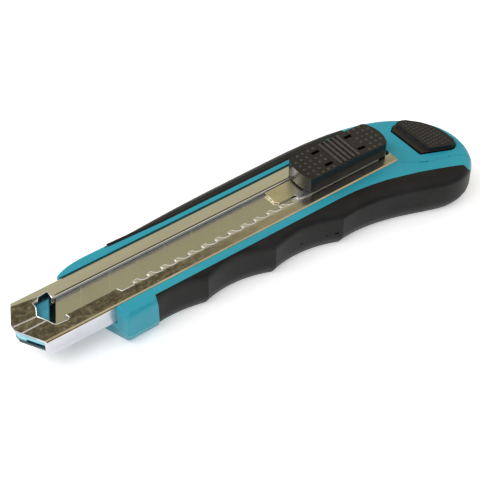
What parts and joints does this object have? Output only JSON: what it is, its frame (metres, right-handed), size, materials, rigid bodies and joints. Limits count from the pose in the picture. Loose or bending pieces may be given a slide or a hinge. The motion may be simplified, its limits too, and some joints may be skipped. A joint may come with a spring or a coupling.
{
  "type": "snap off knife",
  "caption": "Snap-off knife with a folded steel blade guide, sliding thumb lock, spare-blade magazine and soft scalloped grip.",
  "frame": {"origin": "bottom centre of the bounding box, on the flat back of the handle", "axes": "+X from the blade's nose to the butt, -Y the finger and cutting-edge side, +Z out of the slot face"},
  "size_m": [0.1622, 0.045, 0.0209],
  "materials": {
    "bright_steel": "bright plated sheet",
    "teal_plastic": "satin moulded",
    "grip_rubber": "matt moulded",
    "black_plastic": "satin moulded",
    "blade_steel": "ground and oiled",
    "carrier_steel": "zinc passivated",
    "spring_steel": "plain"
  },
  "bodies": {
    "housing": {"guide_sleeve": "bright_steel", "nose_insert": "teal_plastic", "upper_shell": "teal_plastic", "lower_shell": "teal_plastic", "finger_grip": "grip_rubber", "spine_grip": "grip_rubber", "spare_blades": "blade_steel", "magazine_follower": "black_plastic", "magazine_spring": "spring_steel", "housing_screws": "spring_steel", "cap_detent": "spring_steel", "button_spring": "spring_steel"},
    "carriage": {"blade": "blade_steel", "blade_carrier": "carrier_steel", "carrier_pin": "spring_steel", "slider_base": "black_plastic", "lock_spring": "spring_steel", "cap_spring": "spring_steel"},
    "thumb_cap": {"thumb_slider": "black_plastic"},
    "button": {"release_button": "black_plastic", "button_hook": "black_plastic"},
    "port_plug": {"rear_cap": "teal_plastic"}
  },
  "joints": [
    {"name": "slider_slide", "type": "slide", "parent": "housing", "child": "carriage", "axis": [-1, 0, 0], "range_m": [0, 0.07], "deforming": ["lock_spring"]},
    {"name": "cap_shift", "type": "slide", "parent": "carriage", "child": "thumb_cap", "axis": [-1, 0, 0], "range_m": [-0.0008, 0.0008], "stiffness_N_per_m": 400},
    {"name": "button_press", "type": "slide", "parent": "housing", "child": "button", "axis": [0, 0, -1], "range_m": [0, 0.0012], "stiffness_N_per_m": 400, "springref_m": -0.002, "deforming": ["button_spring"]},
    {"name": "rear_cap_slide", "type": "slide", "parent": "housing", "child": "port_plug", "axis": [1, 0, 0], "range_m": [0, 0.012]}
  ]
}
